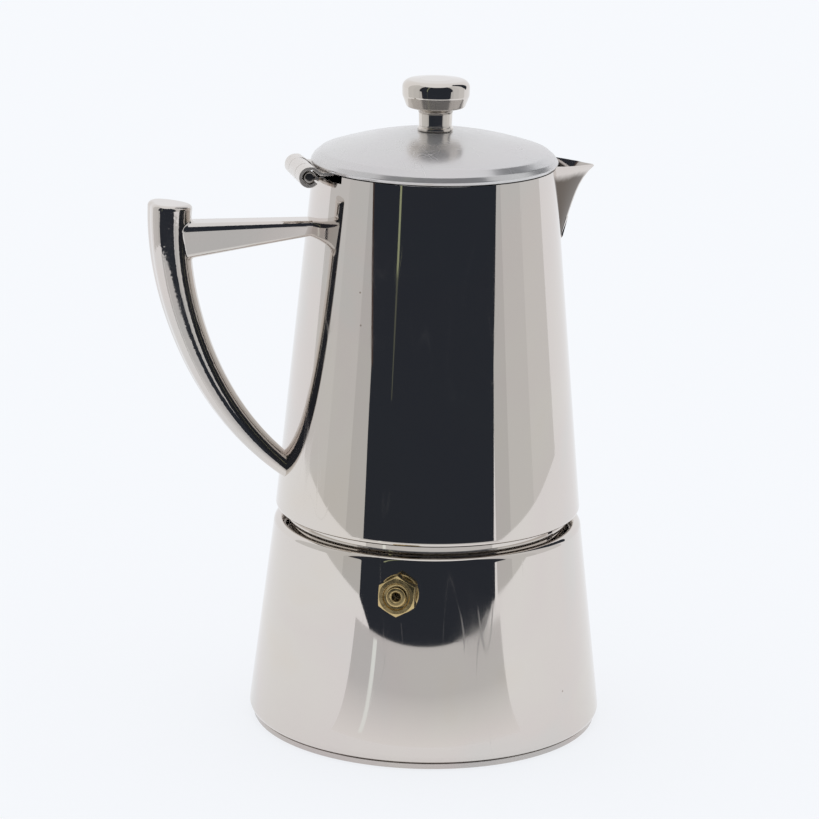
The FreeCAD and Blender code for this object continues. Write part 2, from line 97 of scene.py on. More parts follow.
camera = bpy.data.objects.new("camera", bpy.data.cameras.new("camera"))
bpy.context.scene.collection.objects.link(camera)
turned_axes = Matrix((across, above, -forward)).transposed().to_4x4()
camera.matrix_world = Matrix.Translation(around(0, camera_distance, camera_height)) @ turned_axes
camera.data.lens = lens_mm
camera.data.clip_end = 50
bpy.context.scene.camera = camera
print("camera at", [round(v, 4) for v in camera.location])

# %% [markdown]
# ## The studio
# Polished steel shows its surroundings, so the room matters as much as the steel. The pot
# stands on a pale floor in soft light from all round. Cards beside it would light it too,
# but here they only need to be seen in the steel: they are hidden from the camera and cast
# no shadow, so they never stand in the way when the camera walks round.

# %% The light of a card
def glow(name, colour, far_colour=None, near=0.12, far=0.30):
    """A card's material: plain light of one colour, or fading to another with distance."""
    made = bpy.data.materials.new(name)
    made.use_nodes = True
    tree = made.node_tree
    tree.nodes.clear()
    light = tree.nodes.new("ShaderNodeEmission")
    light.inputs["Color"].default_value = (*colour, 1)
    output = tree.nodes.new("ShaderNodeOutputMaterial")
    tree.links.new(light.outputs[0], output.inputs["Surface"])
    if far_colour:
        place = tree.nodes.new("ShaderNodeTexCoord")
        reach = tree.nodes.new("ShaderNodeVectorMath")
        reach.operation = "LENGTH"
        tree.links.new(place.outputs["Object"], reach.inputs[0])
        fade = tree.nodes.new("ShaderNodeMapRange")
        fade.inputs["From Min"].default_value = near
        fade.inputs["From Max"].default_value = far
        tree.links.new(reach.outputs["Value"], fade.inputs["Value"])
        blend = tree.nodes.new("ShaderNodeMix")
        blend.data_type = "RGBA"
        blend.inputs[6].default_value = (*colour, 1)
        blend.inputs[7].default_value = (*far_colour, 1)
        tree.links.new(fade.outputs[0], blend.inputs["Factor"])
        tree.links.new(blend.outputs[2], light.inputs["Color"])
    return made


# %% [markdown]
# ### Curved cards
# A card is a strip of a cylinder round the pot. A cylinder could be cut open for it, but the
# edges of a card lean, so it is laid out in rows from the floor up, each with its own ends.

# %% A curved card
def reflected(name, rows, material, columns=24):
    """A curved card round the pot that only reflections see. Each row is a distance, a
    height and the angles, from the camera's side, between which the card stands there."""
    vertices, faces = [], []
    for distance, height, first, last in rows:
        for column in range(columns + 1):
            turn = first + (last - first) * column / columns
            vertices.append(around(turn, distance, height))
    for row in range(len(rows) - 1):
        for column in range(columns):
            low = row * (columns + 1) + column
            high = low + columns + 1
            faces.append((low, low + 1, high + 1, high))
    mesh = bpy.data.meshes.new(name)
    mesh.from_pydata(vertices, [], faces)
    mesh.materials.append(material)
    made = bpy.data.objects.new(name, mesh)
    bpy.context.scene.collection.objects.link(made)
    made.visible_camera = False
    made.visible_diffuse = False
    made.visible_shadow = False


# %% [markdown]
# ### Floor and sky
# The floor glows a little of itself, which keeps it pale right up to the pot and leaves only
# a faint shadow. It has no shine, so nothing of the pot is mirrored in it. The sky is one
# even colour, as in a light tent, and the Standard view shows the colours as they are set.

# %% Floor
paper_white = (0.92, 0.935, 0.965)
floor_mesh = bpy.data.meshes.new("floor")
floor_mesh.from_pydata([(-6, -6, 0), (6, -6, 0), (6, 6, 0), (-6, 6, 0)], [], [(0, 1, 2, 3)])
floor = bpy.data.objects.new("floor", floor_mesh)
bpy.context.scene.collection.objects.link(floor)

floor_paint = bpy.data.materials.new("floor_paint")
floor_paint.use_nodes = True
paint = floor_paint.node_tree.nodes["Principled BSDF"]
paint.inputs["Base Color"].default_value = (0.22, 0.225, 0.23, 1)
paint.inputs["Roughness"].default_value = 0.9
paint.inputs["Specular IOR Level"].default_value = 0.0
paint.inputs["Emission Color"].default_value = (*paper_white, 1)
paint.inputs["Emission Strength"].default_value = 0.79
floor_mesh.materials.append(floor_paint)
print("floor", [round(size, 1) for size in floor.dimensions], "m")

# %% Sky
sky = bpy.data.worlds.new("studio")
sky.use_nodes = True
sky.node_tree.nodes["Background"].inputs["Color"].default_value = (*paper_white, 1)
sky.node_tree.nodes["Background"].inputs["Strength"].default_value = 1.0
bpy.context.scene.world = sky
bpy.context.scene.view_settings.view_transform = "Standard"
print("sky", paper_white)

# %% [markdown]
# ### What the steel sees
# A dark room behind the camera makes the broad dark band down the front. Grey cards stand at
# both sides of it, a thin bright window line crosses it, and painted shade makes the table a
# little darker in front of the pot, with a painted streak of window light on it. The angles are
# the card's two edges, seen from the pot's axis.

# %% The dark room
room = glow("room", (0.027, 0.032, 0.043))
reflected("room_wall", [
    (0.54, 0.0, -36, 38), (0.54, 0.012, -45.5, 48), (0.54, 0.10, -47.5, 51),
    (0.54, 0.185, -57, 58), (0.54, 1.1, -58, 59)], room)
reflected("door_frame", [
    (0.538, 0.10, -47.5, -46), (0.538, 0.185, -57, -55.5), (0.538, 1.1, -58, -56.5)],
    glow("door_frame", (0.075, 0.052, 0.045)))
reflected("right_gap", [
    (0.53, 0.16, 118, 119), (0.53, 0.35, 108, 132), (0.53, 1.1, 104, 136)], room)

# %% Grey cards at the sides
for name, first, last, grey in (
        ("left_card_far", -108, -82, 0.70), ("left_card", -82, -60, 0.66),
        ("left_card_near", -60, -44, 0.58), ("right_card_near", 50, 62, 0.60),
        ("right_card", 62, 84, 0.68), ("right_card_far", 84, 112, 0.74)):
    reflected(name, [(0.545, 0.012, first, last), (0.545, 1.1, first, last)],
              glow(name, (grey, grey * 1.015, grey * 1.03)))

# %% Window line and table
reflected("window_top", [(0.535, 0.15, -30.0, -28.4), (0.535, 1.1, -31.5, -28)],
          glow("window_top", (0.34, 0.38, 0.24)))
reflected("window_foot", [(0.535, 0.09, -29.6, -29.0), (0.535, 0.15, -30.0, -28.4)],
          glow("window_foot", (0.10, 0.11, 0.09)))
# Painted shade: the table darker in front of the pot, seen only in the steel.
reflected("table_shade", [(0.12, 0.001, -47, 51), (0.54, 0.001, -47, 51)],
          glow("table_shade", (0.90, 0.91, 0.93), (0.63, 0.64, 0.66)))
# Painted window light: a bright streak on the table, seen only in the steel.
reflected("table_window_light", [(0.13, 0.002, -33, -31), (0.5, 0.002, -33.5, -31)],
          glow("table_window_light", (0.93, 0.99, 1.0)))

# %% [markdown]
# ## Modelling helpers
# Most of the pot is turned work, so its pieces start as an outline drawn with one point
# that is extruded from corner to corner, the way a lathe drawing is made. Corners are
# rounded with Bevel while the outline is still a line, which keeps the rings clean, and
# Spin then carries it round the axis. Outlines are in millimetres: radius, height, rounding.

# %% Selecting
mm = 0.001
fine_merge = 1e-6


def clear():
    """Object mode with nothing selected, because an operator acts on all that is selected."""
    if bpy.context.object and bpy.context.object.mode != "OBJECT":
        bpy.ops.object.mode_set(mode="OBJECT")
    bpy.ops.object.select_all(action="DESELECT")


def take(piece):
    """Make one piece the selected and active object."""
    clear()
    piece.select_set(True)
    bpy.context.view_layer.objects.active = piece


def pick(piece, kind, wanted):
    """In edit mode, select only the vertices, edges or faces that wanted says yes to."""
    bpy.ops.mesh.select_all(action="DESELECT")
    bpy.ops.mesh.select_mode(type=kind)
    shape = bmesh.from_edit_mesh(piece.data)
    for part in {"VERT": shape.verts, "EDGE": shape.edges, "FACE": shape.faces}[kind]:
        if wanted(part):
            part.select_set(True)
    bmesh.update_edit_mesh(piece.data)


# %% Drawing an outline
def single_point(name, place):
    """A piece that is one vertex, ready to be extruded."""
    clear()
    bpy.ops.mesh.primitive_plane_add(size=mm, location=place)
    piece = bpy.context.object
    piece.name = piece.data.name = name
    bpy.ops.object.transform_apply()
    bpy.ops.object.mode_set(mode="EDIT")
    bpy.ops.mesh.select_mode(type="VERT")
    bpy.ops.mesh.select_all(action="SELECT")
    bpy.ops.mesh.merge(type="CENTER")
    return piece


def draw_outline(name, corners, place=lambda x, z: Vector((x, 0, z)) * mm, segments=8):
    """Extrude a point along the corners, then round each corner that has a rounding."""
    points = [place(x, z) for x, z, rounding in corners]
    piece = single_point(name, points[0])
    for here, there in zip(points, points[1:]):
        bpy.ops.mesh.extrude_vertices_move(TRANSFORM_OT_translate={"value": there - here})
    for index, corner in enumerate(points):
        rounding = corners[index][2]
        if rounding:
            before = points[index - 1] - corner
            after = points[index + 1] - corner
            half_angle = before.angle(after) / 2
            pick(piece, "VERT", lambda vertex: (vertex.co - corner).length < fine_merge)
            bpy.ops.mesh.bevel(
                offset_type="OFFSET", offset=rounding * mm / math.tan(half_angle),
                segments=segments, affect="VERTICES")
    return piece


# %% Turning it
def spin_round(piece, steps):
    """Carry the outline round the pot's axis, close the seam and poles, face outwards."""
    bpy.ops.mesh.select_all(action="SELECT")
    bpy.ops.mesh.spin(steps=steps, angle=math.tau, center=(0, 0, 0), axis=(0, 0, 1))
    bpy.ops.mesh.select_all(action="SELECT")
    bpy.ops.mesh.remove_doubles(threshold=fine_merge)
    bpy.ops.mesh.normals_make_consistent(inside=False)


def turned(name, corners, steps=160, segments=8):
    """A piece whose outline, drawn in the XZ plane, goes all the way round the Z axis."""
    piece = draw_outline(name, corners, segments=segments)
    spin_round(piece, steps)
    clear()
    return piece


# %% [markdown]
# ### Finishing a piece
# Modifiers are applied at once, so every piece is plain mesh when it is done. A small bevel
# keeps an edge from looking like cut paper. Weighted normals let the large faces decide the
# shading, which a mirror needs most of all.

# %% Modifiers and smooth shading
def modify(piece, kind, **settings):
    """Add one modifier with its settings and apply it."""
    take(piece)
    bpy.ops.object.modifier_add(type=kind)
    modifier = piece.modifiers[-1]
    for setting, value in settings.items():
        setattr(modifier, setting, value)
    bpy.ops.object.modifier_apply(modifier=modifier.name)


def soften(piece, width, angle, segments=3):
    """A small round on every edge sharper than the angle, so that it catches the light."""
    modify(piece, "BEVEL", width=width * mm, segments=segments, limit_method="ANGLE",
           angle_limit=math.radians(angle))


def smooth(piece, angle=35):
    """Smooth shading whose normals favour the large faces, as on pressed sheet."""
    take(piece)
    bpy.ops.object.shade_smooth_by_angle(angle=math.radians(angle))
    modify(piece, "WEIGHTED_NORMAL", keep_sharp=True)
    clear()


def stand_on(piece, foot, direction):
    """Move a piece that was made on the Z axis onto another axis, into its mesh."""
    turn = direction.to_track_quat("Z", "Y").to_matrix().to_4x4()
    piece.matrix_world = Matrix.Translation(foot) @ turn
    take(piece)
    bpy.ops.object.transform_apply()
    clear()


# %% [markdown]
# ### Handing a piece over
# Each piece is told which body it moves with, which CAD nodes it stands for and what it is
# made of. It is then measured: a closed mesh has no open edge and a positive volume.


def belongs(piece, body, slot, material, *nodes):
    """The piece rides on its body, stands for its CAD nodes and takes its finish."""
    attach(piece, body)
    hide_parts(*nodes)
    piece.data.materials.clear()
    piece.data.materials.append(material)
    shape = bmesh.new()
    shape.from_mesh(piece.data)
    triangles = sum(len(face.verts) - 2 for face in shape.faces)
    loose = sum(len(edge.link_faces) != 2 for edge in shape.edges)
    volume = shape.calc_volume(signed=True) * 1e6
    shape.free()
    print(piece.name, triangles, "triangles,", loose, "open edges,", round(volume, 3), "cm3")


# %% [markdown]
# ## What ageing does to polished steel
# A mirror finish is never even: fine scratches run every way from wiping, a thin haze of
# lime dulls patches, heat leaves faint straw, pink and blue tints, and small specks stay.
# Each effect is a node group of its own, so every steel piece can have its own share.

# %% Node helpers
def add(tree, kind, links=None, **values):
    """A node whose properties are set by name, then its inputs linked or filled in."""
    node = tree.nodes.new(kind)
    for name, value in values.items():
        setattr(node, name, value)
    for socket, source in (links or {}).items():
        if isinstance(source, bpy.types.NodeSocket):
            tree.links.new(source, node.inputs[socket])
        else:
            node.inputs[socket].default_value = source
    return node


def new_group(name, inputs, outputs):
    """A shader group with named sockets; returns its tree, input node and output node."""
    tree = bpy.data.node_groups.new(name, "ShaderNodeTree")
    for label, kind, default in inputs:
        socket = tree.interface.new_socket(label, in_out="INPUT", socket_type=kind)
        if default is not None:
            socket.default_value = default
    for label, kind in outputs:
        tree.interface.new_socket(label, in_out="OUTPUT", socket_type=kind)
    return tree, tree.nodes.new("NodeGroupInput"), tree.nodes.new("NodeGroupOutput")


def place_group(tree, group, links):
    """One use of a group in a material, with its own values."""
    return add(tree, "ShaderNodeGroup", links, node_tree=group)


def ramp(tree, value, low, high, out_low=0.0, out_high=1.0):
    """Map a value from one range to another, smoothly and clamped."""
    node = add(tree, "ShaderNodeMapRange", {
        "Value": value, "From Min": low, "From Max": high,
        "To Min": out_low, "To Max": out_high}, interpolation_type="SMOOTHSTEP")
    return node.outputs["Result"]


def maths(tree, operation, first, second=0.0):
    node = add(tree, "ShaderNodeMath", {0: first, 1: second}, operation=operation)
    return node.outputs[0]


# %% [markdown]
# ### Scratches
# Wiping leaves hairlines in every direction. Where stretched noise crosses its middle value
# there is a long thin line, and a second noise lets only some stretches of it show. Four
# turned copies keep the lines from all running one way.

# %% Scratches
def scratches_group():
    """Hairlines: the thin places where stretched noise crosses its middle value."""
    tree, entry, leave = new_group(
        "hairline_scratches",
        [("Vector", "NodeSocketVector", None), ("Scale", "NodeSocketFloat", 60.0),
         ("Width", "NodeSocketFloat", 0.008)],
        [("Mask", "NodeSocketFloat")])
    total = None
    for turn in ((1.3, 1.1, 0.2), (1.2, 0.7, 2.0), (2.2, 0.9, 0.9), (0.9, 2.4, 1.5)):
        stretched = add(tree, "ShaderNodeMapping", {
            "Vector": entry.outputs["Vector"], "Rotation": turn, "Scale": (1, 1, 0.12)})
        lines = add(tree, "ShaderNodeTexNoise", {
            "Vector": stretched.outputs[0], "Scale": entry.outputs["Scale"], "Detail": 1.0})
        offset = maths(tree, "SUBTRACT", lines.outputs[0], 0.5)
        thin = add(tree, "ShaderNodeMapRange", {
            "Value": maths(tree, "ABSOLUTE", offset), "From Min": 0.0,
            "From Max": entry.outputs["Width"], "To Min": 1.0, "To Max": 0.0})
        where = add(tree, "ShaderNodeTexNoise", {
            "Vector": entry.outputs["Vector"], "Scale": 22.0 + 9 * turn[0], "Detail": 2.0})
        kept = maths(tree, "MULTIPLY", thin.outputs[0], ramp(tree, where.outputs[0], 0.5, 0.66))
        total = kept if total is None else maths(tree, "MAXIMUM", total, kept)
    tree.links.new(total, leave.inputs["Mask"])
    return tree


# %% [markdown]
# ### Haze, heat and specks
# Lime dulls the polish in clouds, so haze is plain soft noise. Heat tints run through a few
# colours in order, which a Color Ramp gives. Specks are the centres of Voronoi cells, and a
# cell's own random colour decides whether its speck is there.

# %% Haze
def haze_group():
    """Cloudy patches where lime and wiping have dulled the polish."""
    tree, entry, leave = new_group(
        "polish_haze",
        [("Vector", "NodeSocketVector", None), ("Scale", "NodeSocketFloat", 14.0),
         ("Low", "NodeSocketFloat", 0.42), ("High", "NodeSocketFloat", 0.70)],
        [("Mask", "NodeSocketFloat")])
    clouds = add(tree, "ShaderNodeTexNoise", {
        "Vector": entry.outputs["Vector"], "Scale": entry.outputs["Scale"],
        "Detail": 5.0, "Roughness": 0.62, "Distortion": 0.4})
    mask = add(tree, "ShaderNodeMapRange", {
        "Value": clouds.outputs[0], "From Min": entry.outputs["Low"],
        "From Max": entry.outputs["High"]}, interpolation_type="SMOOTHSTEP")
    tree.links.new(mask.outputs[0], leave.inputs["Mask"])
    return tree


# %% Heat tint
def tint_group():
    """Heat tints: broad bands of straw, rose and blue mixed faintly into the steel."""
    tree, entry, leave = new_group(
        "heat_tint",
        [("Vector", "NodeSocketVector", None), ("Colour", "NodeSocketColor", None),
         ("Scale", "NodeSocketFloat", 12.0), ("Amount", "NodeSocketFloat", 0.3)],
        [("Colour", "NodeSocketColor")])
    noise = add(tree, "ShaderNodeTexNoise", {
        "Vector": entry.outputs["Vector"], "Scale": entry.outputs["Scale"],
        "Detail": 3.0, "Distortion": 0.8})
    bands = tree.nodes.new("ShaderNodeValToRGB")
    colours = [(0.30, (1.0, 0.94, 0.86)), (0.42, (1.0, 1.0, 1.0)), (0.54, (0.97, 0.92, 0.97)),
               (0.62, (0.90, 0.94, 1.0)), (0.72, (1.0, 1.0, 1.0))]
    while len(bands.color_ramp.elements) < len(colours):
        bands.color_ramp.elements.new(0.5)
    for element, (position, colour) in zip(bands.color_ramp.elements, colours):
        element.position = position
        element.color = (*colour, 1)
    tree.links.new(noise.outputs[0], bands.inputs[0])
    mix = add(tree, "ShaderNodeMix", {
        "Factor": entry.outputs["Amount"], 6: entry.outputs["Colour"], 7: bands.outputs[0]},
        data_type="RGBA", blend_type="MULTIPLY")
    tree.links.new(mix.outputs[2], leave.inputs["Colour"])
    return tree


# %% Specks
def specks_group():
    """Scattered dots, such as dried drops and rust pips, kept to some of their cells."""
    tree, entry, leave = new_group(
        "specks",
        [("Vector", "NodeSocketVector", None), ("Scale", "NodeSocketFloat", 160.0),
         ("Size", "NodeSocketFloat", 0.07), ("Share", "NodeSocketFloat", 0.85)],
        [("Mask", "NodeSocketFloat")])
    cells = add(tree, "ShaderNodeTexVoronoi", {
        "Vector": entry.outputs["Vector"], "Scale": entry.outputs["Scale"]})
    dot = add(tree, "ShaderNodeMapRange", {
        "Value": cells.outputs["Distance"], "From Min": entry.outputs["Size"],
        "From Max": 0.0})
    chance = add(tree, "ShaderNodeSeparateColor", {"Color": cells.outputs["Color"]})
    chosen = maths(tree, "GREATER_THAN", chance.outputs[0], entry.outputs["Share"])
    tree.links.new(maths(tree, "MULTIPLY", dot.outputs[0], chosen), leave.inputs["Mask"])
    return tree


scratches, haze, tint, specks = scratches_group(), haze_group(), tint_group(), specks_group()
print("wear groups", [group.name for group in (scratches, haze, tint, specks)])

# %% [markdown]
# ## The metals
# One recipe serves every metal here: a colour, a smooth and a dull roughness, and how much
# of each kind of wear it has. Polished pieces get a very low roughness, so their scratches
# and haze do the talking, and pressed or drawn pieces get a wider, softer shine.

# %% Metal recipe
def metal(name, colour, bright, dull, haze_scale=14.0, haze_range=(0.42, 0.70),
          scratch_scale=60.0, scratch_depth=0.004, scratch_rough=0.10, tint_amount=0.35,
          wave=0.0, speck_colour=(0.20, 0.13, 0.08), speck_share=0.93, metallic=1.0):
    """A worn metal. Bright and dull are the roughness of clean and of hazed places."""
    material = bpy.data.materials.new(name)
    material.use_nodes = True
    tree = material.node_tree
    principled = tree.nodes["Principled BSDF"]
    principled.inputs["Metallic"].default_value = metallic
    place = add(tree, "ShaderNodeTexCoord").outputs["Object"]
    cloud = place_group(tree, haze, {
        "Vector": place, "Scale": haze_scale, "Low": haze_range[0], "High": haze_range[1]})
    lines = place_group(tree, scratches, {"Vector": place, "Scale": scratch_scale})
    dots = place_group(tree, specks, {"Vector": place, "Share": speck_share})
    tinted = place_group(tree, tint, {
        "Vector": place, "Colour": (*colour, 1), "Amount": tint_amount})
    spotted = add(tree, "ShaderNodeMix", {
        "Factor": dots.outputs[0], 6: tinted.outputs[0], 7: (*speck_colour, 1)},
        data_type="RGBA")
    tree.links.new(spotted.outputs[2], principled.inputs["Base Color"])
    rough = ramp(tree, cloud.outputs[0], 0.0, 1.0, bright, dull)
    rough = maths(tree, "ADD", rough, maths(tree, "MULTIPLY", lines.outputs[0], scratch_rough))
    rough = maths(tree, "ADD", rough, maths(tree, "MULTIPLY", dots.outputs[0], 0.25))
    tree.links.new(rough, principled.inputs["Roughness"])
    height = maths(tree, "MULTIPLY", lines.outputs[0], -scratch_depth)
    if wave:
        swell = add(tree, "ShaderNodeTexNoise", {"Vector": place, "Scale": 26.0, "Detail": 1.0})
        height = maths(tree, "ADD", height, maths(tree, "MULTIPLY", swell.outputs[0], wave))
    bump = add(tree, "ShaderNodeBump", {"Height": height, "Strength": 1.0, "Distance": mm})
    tree.links.new(bump.outputs[0], principled.inputs["Normal"])
    return material


# %% [markdown]
# ### The steels
# Most of the steel is the same warm grey. What differs is the work on it: boiler and jug are
# polished to a mirror, the knob is turned, the handle is cast and buffed, the lid has been
# wiped dull, and the hinge is curled from plain sheet. The base cap is a darker, duller steel
# with more heat tint.
# The pin and the drawn parts inside are a darker grey.

# %% Steels
steel_colour = (0.70, 0.655, 0.605)
mirror = metal("mirror_steel", steel_colour, 0.022, 0.075, wave=0.06)
lid_steel = metal("wiped_steel", (0.66, 0.645, 0.63), 0.15, 0.27, haze_range=(0.30, 0.62),
                  scratch_scale=90.0, scratch_depth=0.0015, scratch_rough=0.14, tint_amount=0.3,
                  metallic=0.72)
knob_steel = metal("turned_knob_steel", steel_colour, 0.035, 0.09, haze_scale=60.0)
base_steel = metal("darker_base_steel", (0.56, 0.52, 0.48), 0.16, 0.30, tint_amount=0.6)
spout_steel = metal("folded_spout_steel", steel_colour, 0.05, 0.14, haze_scale=40.0)
hinge_steel = metal("curled_hinge_steel", steel_colour, 0.20, 0.32, haze_scale=120.0,
                    tint_amount=0.5, metallic=0.8)
pin_steel = metal("hinge_pin_steel", (0.30, 0.28, 0.26), 0.16, 0.30, haze_scale=200.0)
handle_steel = metal("cast_handle_steel", steel_colour, 0.045, 0.11, haze_scale=40.0,
                     wave=0.03)
satin = metal("satin_steel", (0.52, 0.50, 0.475), 0.24, 0.38, scratch_scale=140.0)
steels = (mirror, lid_steel, knob_steel, base_steel, spout_steel, hinge_steel, pin_steel,
          handle_steel, satin)
print(len(steels), "steels")

# %% Brass, aluminium and spring wire
brass = metal("valve_brass", (0.60, 0.46, 0.225), 0.17, 0.34, haze_scale=180.0,
              haze_range=(0.35, 0.65), scratch_scale=300.0, speck_colour=(0.16, 0.10, 0.04),
              speck_share=0.8)
core_aluminium = metal("core_aluminium", (0.60, 0.60, 0.61), 0.35, 0.5, tint_amount=0.1)
spring_wire = metal("spring_wire", (0.50, 0.50, 0.50), 0.15, 0.25, haze_scale=200.0)
print([made.name for made in (brass, core_aluminium, spring_wire)])

# %% [markdown]
# ### The gasket's silicone
# Silicone is matt and off-white, and coffee stains it in patches. The haze group serves as
# the mask for the stain, so no new noise is needed.

# %% Silicone
def silicone_rubber():
    """Off-white silicone: matt, and stained by coffee."""
    material = bpy.data.materials.new("silicone")
    material.use_nodes = True
    tree = material.node_tree
    principled = tree.nodes["Principled BSDF"]
    place = add(tree, "ShaderNodeTexCoord").outputs["Object"]
    stain = place_group(tree, haze, {"Vector": place, "Scale": 40.0})
    mix = add(tree, "ShaderNodeMix", {
        "Factor": maths(tree, "MULTIPLY", stain.outputs[0], 0.5),
        6: (0.78, 0.76, 0.71, 1), 7: (0.55, 0.42, 0.28, 1)}, data_type="RGBA")
    tree.links.new(mix.outputs[2], principled.inputs["Base Color"])
    tree.links.new(ramp(tree, stain.outputs[0], 0.0, 1.0, 0.45, 0.6),
                   principled.inputs["Roughness"])
    return material


silicone = silicone_rubber()
print(silicone.name)

# %% [markdown]
# ### Painted reflection on the spout
# The spout's flanks show a brownish reflection of the shade round the pot, so it is painted
# into their colour low down and left out along the fold. A painted mask could show it, but
# height and distance from the fold describe it well enough, with some noise to make the upper
# edge ragged.

# %% Painted reflection on the spout
def paint_spout_reflection(material, colour):
    """Painted brown reflection low on the spout's flanks, left out along its fold."""
    tree = material.node_tree
    principled = tree.nodes["Principled BSDF"]
    clean = principled.inputs["Base Color"].links[0].from_socket
    place = add(tree, "ShaderNodeTexCoord").outputs["Object"]
    parts = add(tree, "ShaderNodeSeparateXYZ", {0: place})
    from_fold = ramp(tree, maths(tree, "ABSOLUTE", parts.outputs["Y"]), 1.0 * mm, 1.7 * mm)
    uneven = add(tree, "ShaderNodeTexNoise", {"Vector": place, "Scale": 110.0, "Detail": 4.0})
    edge = maths(tree, "MULTIPLY", uneven.outputs[0], 5.0 * mm)
    height = maths(tree, "ADD", parts.outputs["Z"], edge)
    low_down = ramp(tree, height, 190.5 * mm, 193.5 * mm, 1.0, 0.0)
    # Painted reflection: where the brown darkening covers the flanks.
    painted_reflection = maths(tree, "MULTIPLY", maths(tree, "MULTIPLY", from_fold, low_down), 0.86)
    mix = add(tree, "ShaderNodeMix", {"Factor": painted_reflection, 6: clean, 7: (*colour, 1)},
              data_type="RGBA")
    tree.links.new(mix.outputs[2], principled.inputs["Base Color"])


# The spout's flanks get a painted brown reflection low down, left out along the fold.
paint_spout_reflection(spout_steel, (0.060, 0.042, 0.028))
print("darkened", spout_steel.name)

# %% [markdown]
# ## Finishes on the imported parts
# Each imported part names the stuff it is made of, so one table gives every part its finish.
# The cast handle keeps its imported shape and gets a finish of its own.

# %% Finishes on the CAD nodes
slot_finish = {
    "polished_steel": mirror, "satin_steel": satin, "aluminium_core": core_aluminium,
    "valve_brass": brass, "spring_steel": spring_wire, "silicone": silicone}
for subpart in frame["record"]["subparts"]:
    node = frame["nodes"][subpart["node"]]
    for material_slot in node.material_slots:
        material_slot.material = slot_finish[subpart["material_slot"]]
for material_slot in frame["nodes"]["handle"].material_slots:
    material_slot.material = handle_steel
print(len(frame["nodes"]), "CAD nodes finished")

# %% [markdown]
# ## The boiler
# The boiler is one pressing: a rolled foot, a conical wall, a soft shoulder and a neck with
# the thread. Its wall is a mirror, and a mirror shows every bump in a mesh, so the outline
# is closed, inside and outside, and is spun in fine steps instead of being thickened later.

# %% Boiler
boiler_low, boiler_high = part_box("boiler_shell")
foot = boiler_low.z / mm
boiler_rim = boiler_high.z / mm
sheet = 0.8
foot_radius, shoulder_radius, shoulder = 60.9, 52.5, 71.3
neck_radius = 47.6
recess_radius, core_top = 57.5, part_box("base_core")[1].z / mm
boiler_floor = core_top + sheet


def boiler_radius(height):
    """Radius of the boiler's conical wall at a height."""
    share = (height - foot) / (shoulder - foot)
    return foot_radius + share * (shoulder_radius - foot_radius)


boiler = turned("boiler", [
    (0, core_top, 0), (recess_radius, core_top, 0), (recess_radius, foot, 0),
    (foot_radius, foot, 2.5), (boiler_radius(30), 30, 0), (shoulder_radius, shoulder, 2.5),
    (neck_radius, shoulder, sheet), (neck_radius, boiler_rim, 0.35),
    (neck_radius - sheet, boiler_rim, 0.35), (neck_radius - sheet, shoulder - sheet, 1.6),
    (boiler_radius(shoulder - sheet) - sheet, shoulder - sheet, 1.7),
    (boiler_radius(boiler_floor) - sheet, boiler_floor, 1.7), (0, boiler_floor, 0)], steps=192)
smooth(boiler)
belongs(boiler, "boiler", "polished_steel", mirror, "boiler_shell")

# %% [markdown]
# ## The thread on the neck
# A rolled thread is a rib that climbs three millimetres a turn. The Screw modifier winds a
# small outline round the axis and lifts it on the way, which Spin can't do in one go.

# %% Thread
thread_pitch, thread_length, thread_start = 3.0, 6.5, 77.2
thread_root, thread_crest = neck_radius - 0.15, 48.3
thread = draw_outline("neck_thread", [
    (thread_root, thread_start - 0.8, 0), (thread_crest, thread_start - 0.35, 0.15),
    (thread_crest, thread_start + 0.35, 0.15), (thread_root, thread_start + 0.8, 0),
    (thread_root, thread_start - 0.8, 0)], segments=2)
bpy.ops.mesh.select_all(action="SELECT")
bpy.ops.mesh.remove_doubles(threshold=fine_merge)
clear()
modify(thread, "SCREW", angle=math.tau * thread_length / thread_pitch,
       screw_offset=thread_length * mm, steps=220, render_steps=220, use_smooth_shade=False)
take(thread)
bpy.ops.object.mode_set(mode="EDIT")
bpy.ops.mesh.select_all(action="SELECT")
bpy.ops.mesh.fill_holes(sides=20)
bpy.ops.mesh.select_all(action="SELECT")
bpy.ops.mesh.normals_make_consistent(inside=False)
clear()
smooth(thread, 50)
belongs(thread, "boiler", "polished_steel", mirror)

# %% [markdown]
# ## The base cap
# A thin steel cap hides the aluminium core that spreads the heat. Its edge is pressed over,
# and it gets a darker, duller steel than the boiler.

# %% Base cap
cap_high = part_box("base_cap")[1]
cap_radius, cap_rim, cap_sheet = cap_high.x / mm, cap_high.z / mm, 0.6
base_cap = turned("base_cap_skin", [
    (0, 0, 0), (cap_radius, 0, 0.8), (cap_radius, cap_rim, 0.2),
    (cap_radius - cap_sheet, cap_rim, 0.2), (cap_radius - cap_sheet, cap_sheet, 0.4),
    (0, cap_sheet, 0)], steps=192)
smooth(base_cap)
belongs(base_cap, "boiler", "polished_steel", base_steel, "base_cap")

# %% [markdown]
# ## The jug
# The jug is a tall cone of sheet, rolled in at the foot, with a notch for the hinge and a
# mouth for the spout. A Boolean could cut both, but it leaves long thin faces that a mirror
# shows as dents. Here the cone is spun with rings where the notch ends, whole faces are
# deleted, two Bisect cuts open the mouth, and Solidify gives the wall its thickness.

# %% Jug cone
jug_low, jug_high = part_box("collector_shell")
jug_foot, jug_rim = jug_low.z / mm, jug_high.z / mm
jug_foot_radius, jug_rim_radius, lip_radius = 52.25, 40.7, 50.6
notch_floor, notch_half_width = 191.2, 19.5
strap_notch, strap_notch_half_width = 189.5, 5.6
mouth_apex, mouth_half_width = 165.5, 9.6
jug_steps = 240


def jug_radius(height):
    """Radius of the jug's conical wall at a height."""
    share = (height - jug_foot) / (jug_rim - jug_foot)
    return jug_foot_radius + share * (jug_rim_radius - jug_foot_radius)


